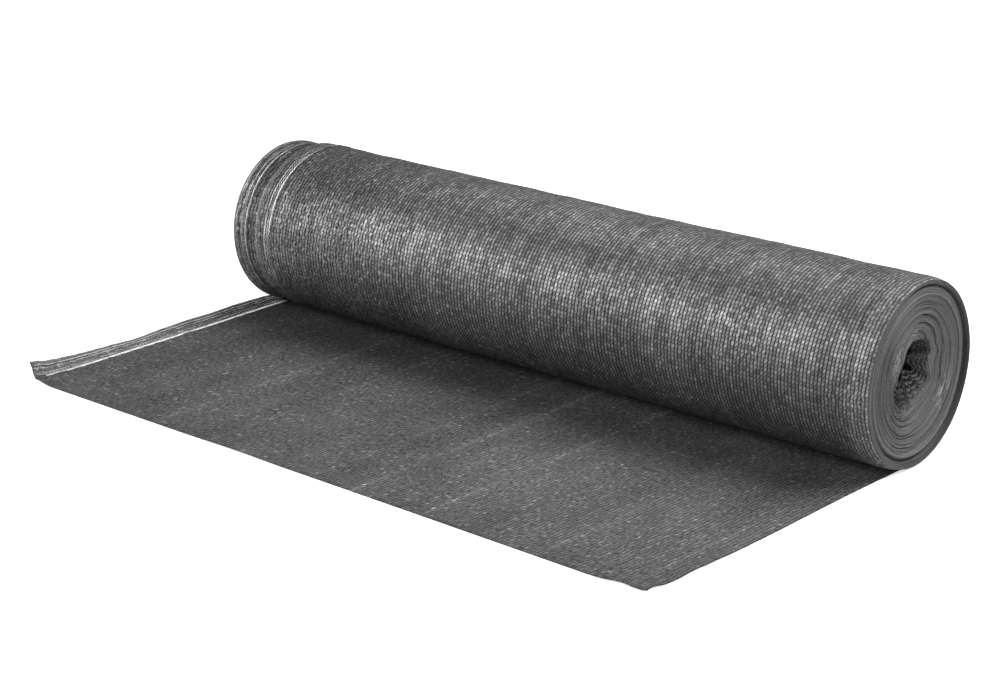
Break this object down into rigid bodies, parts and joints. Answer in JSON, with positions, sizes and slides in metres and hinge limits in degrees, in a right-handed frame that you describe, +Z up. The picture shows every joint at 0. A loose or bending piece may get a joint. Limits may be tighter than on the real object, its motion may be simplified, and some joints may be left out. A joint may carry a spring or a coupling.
{
  "type": "roll of shade netting",
  "caption": "Cylindrical roll of dark knitted shade netting lying on its side, hollow through its middle, its loose end spread flat in front with one curled selvedge.",
  "frame": {"origin": "on the surface the roll lies on, under the middle of its length, at the middle of its flat spot", "axes": "+X along the roll from its far end to its near end, +Z up, the loose end towards -Y"},
  "size_m": [1.0125, 0.5576, 0.2151],
  "materials": {
    "wound_netting": "knitted dark grey plastic tape and yarn, slightly shiny along the wales",
    "loose_netting": "the same knit lying flat, with white strands along its curled selvedge"
  },
  "bodies": {
    "root": {"wound_roll": "wound_netting", "loose_end": "loose_netting"}
  },
  "joints": []
}
